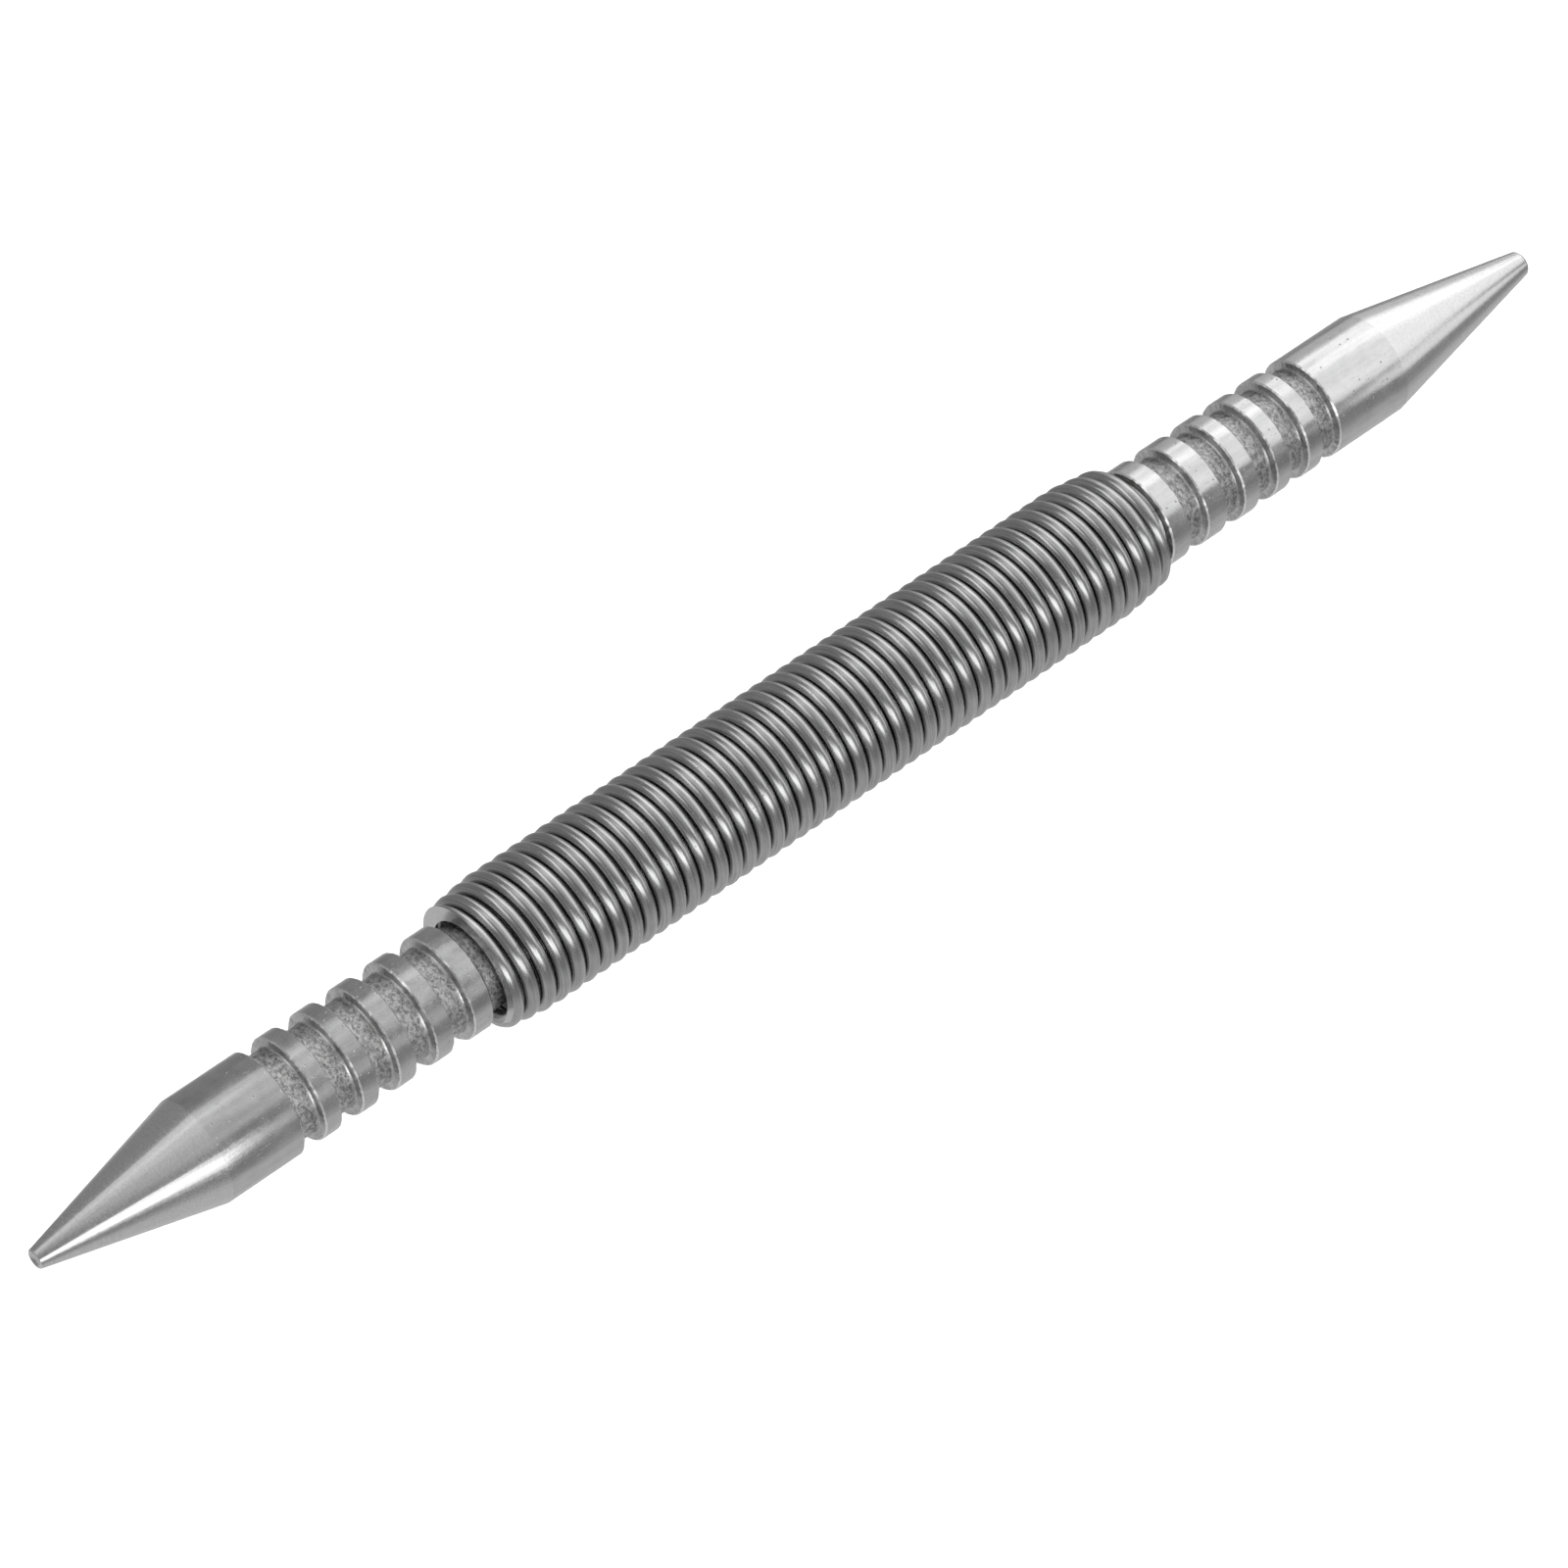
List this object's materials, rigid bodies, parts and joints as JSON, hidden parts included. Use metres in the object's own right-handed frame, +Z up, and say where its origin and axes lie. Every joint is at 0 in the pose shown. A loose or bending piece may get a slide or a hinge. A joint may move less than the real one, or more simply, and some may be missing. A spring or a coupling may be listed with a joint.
{
  "type": "double-ended spring punch",
  "caption": "Hammerless double-ended punch: two grooved steel punches with cone tips, held end to end by a coil spring that is drawn back and let go to strike.",
  "frame": {"origin": "on the tool's axis, half way between the two tips, with the punches closed", "axes": "+X along the axis towards the large tip, +Z up, +Y across"},
  "size_m": [0.1546, 0.0118, 0.0118],
  "materials": {
    "plated_steel": "tumbled and plated, satin, with ground cones",
    "spring_wire": "drawn wire, semi-gloss grey"
  },
  "bodies": {
    "small_punch": {"small_tip_punch": "plated_steel", "coil_spring": "spring_wire"},
    "large_punch": {"large_tip_punch": "plated_steel"}
  },
  "joints": [
    {"name": "draw", "type": "slide", "parent": "small_punch", "child": "large_punch", "axis": [1, 0, 0], "range_m": [0, 0.03], "stiffness_N_per_m": 540, "springref_m": -0.015, "deforming": ["coil_spring"]}
  ]
}
